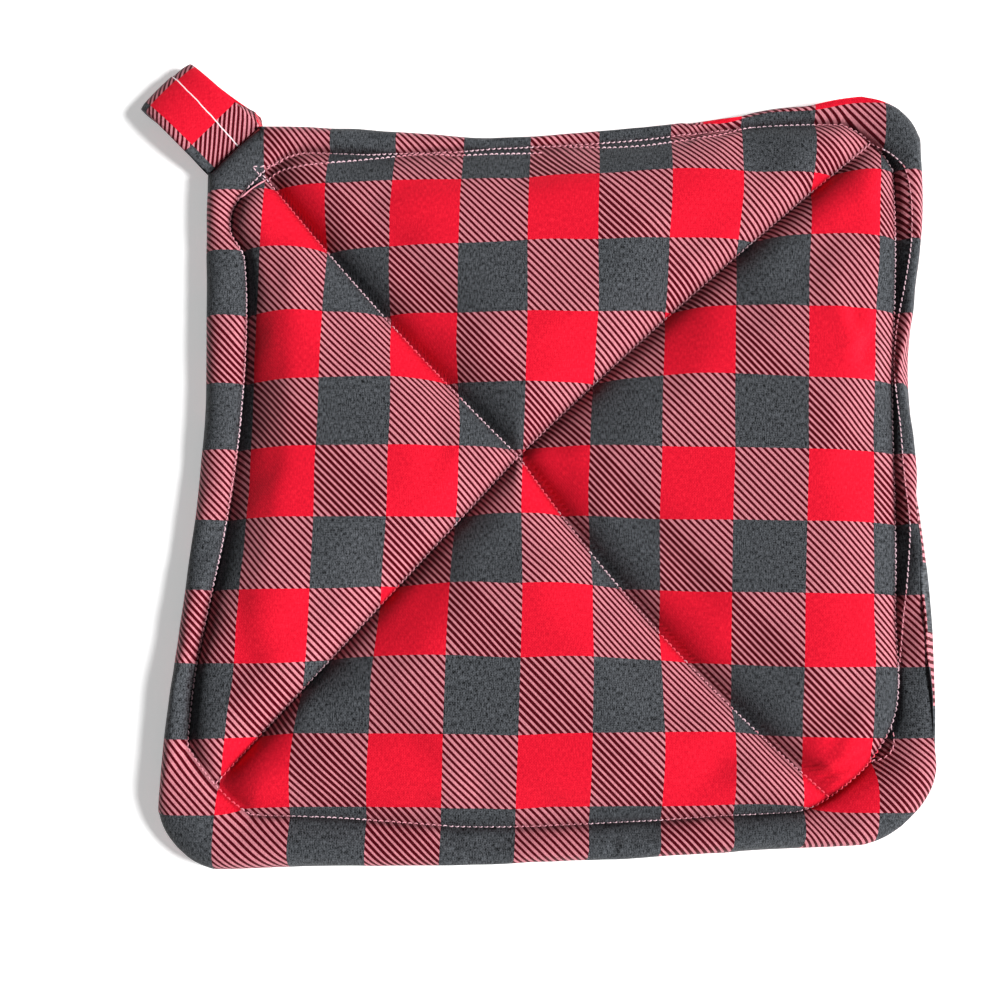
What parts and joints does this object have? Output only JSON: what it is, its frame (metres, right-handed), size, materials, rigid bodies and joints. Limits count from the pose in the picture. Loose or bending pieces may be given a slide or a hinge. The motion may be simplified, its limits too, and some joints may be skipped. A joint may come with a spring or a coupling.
{
  "type": "pot holder",
  "caption": "Square quilted pot holder in red and black checked cotton, stitched across in a cross and round its border, with a folded hanging tab at one corner",
  "frame": {"origin": "centre of the outline at the level of the surface that the back rests on", "axes": "X to the right and Y up as seen from the front, with the hanging tab at the corner of -X and +Y; Z out of the front face"},
  "size_m": [0.2164, 0.2208, 0.012],
  "materials": {
    "pad_cotton": "matt printed cotton in a red and black check",
    "loop_cotton": "matt printed cotton in a red and black check, with one raw edge"
  },
  "bodies": {
    "root": {"quilted_pad": "pad_cotton", "hanging_loop": "loop_cotton"}
  },
  "joints": []
}
